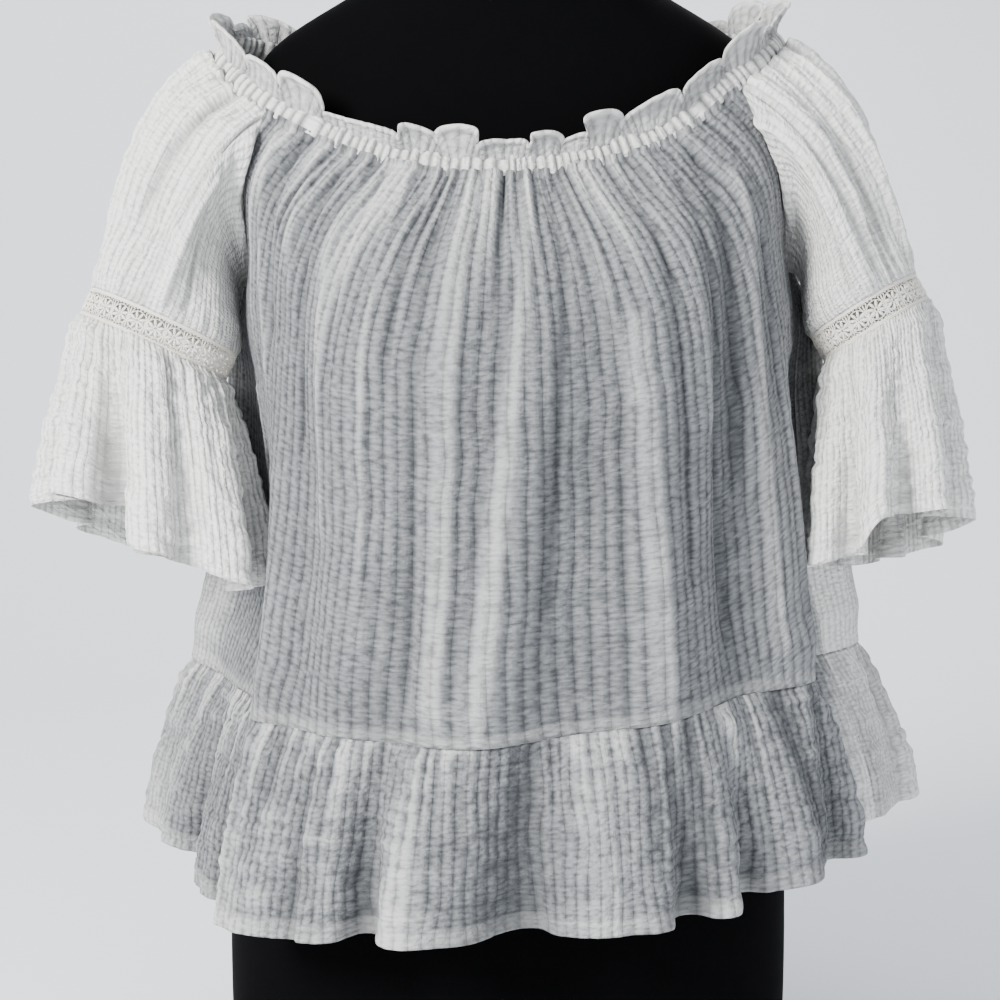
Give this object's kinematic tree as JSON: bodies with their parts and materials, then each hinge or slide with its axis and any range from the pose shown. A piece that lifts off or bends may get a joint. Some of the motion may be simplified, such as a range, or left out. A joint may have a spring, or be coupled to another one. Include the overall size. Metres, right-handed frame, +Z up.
{
  "type": "peasant blouse on a dress form",
  "caption": "Peasant blouse with an elastic off-shoulder neckline, raglan sleeves with lace bands and flounces, and a ruffled bottom, on a limbless dress form.",
  "frame": {"origin": "centre of the dress form's flat base, on the surface that it stands on", "axes": "+Z up along the form, -Y to the blouse's front, +X to the right of someone who looks at the front"},
  "size_m": [0.6351, 0.3876, 0.82],
  "materials": {
    "gauze": "crinkled cotton double gauze, matt and slightly sheer",
    "lace": "matt openwork cotton lace",
    "form": "smooth matt black jersey cover"
  },
  "bodies": {
    "root": {"front": "gauze", "back": "gauze", "sleeve_left": "gauze", "sleeve_right": "gauze", "lace_left": "lace", "lace_right": "lace", "flounce_left": "gauze", "flounce_right": "gauze", "ruffle_front": "gauze", "ruffle_back": "gauze", "neck_casing": "gauze", "neck_frill": "gauze", "dress_form": "form"}
  },
  "joints": []
}
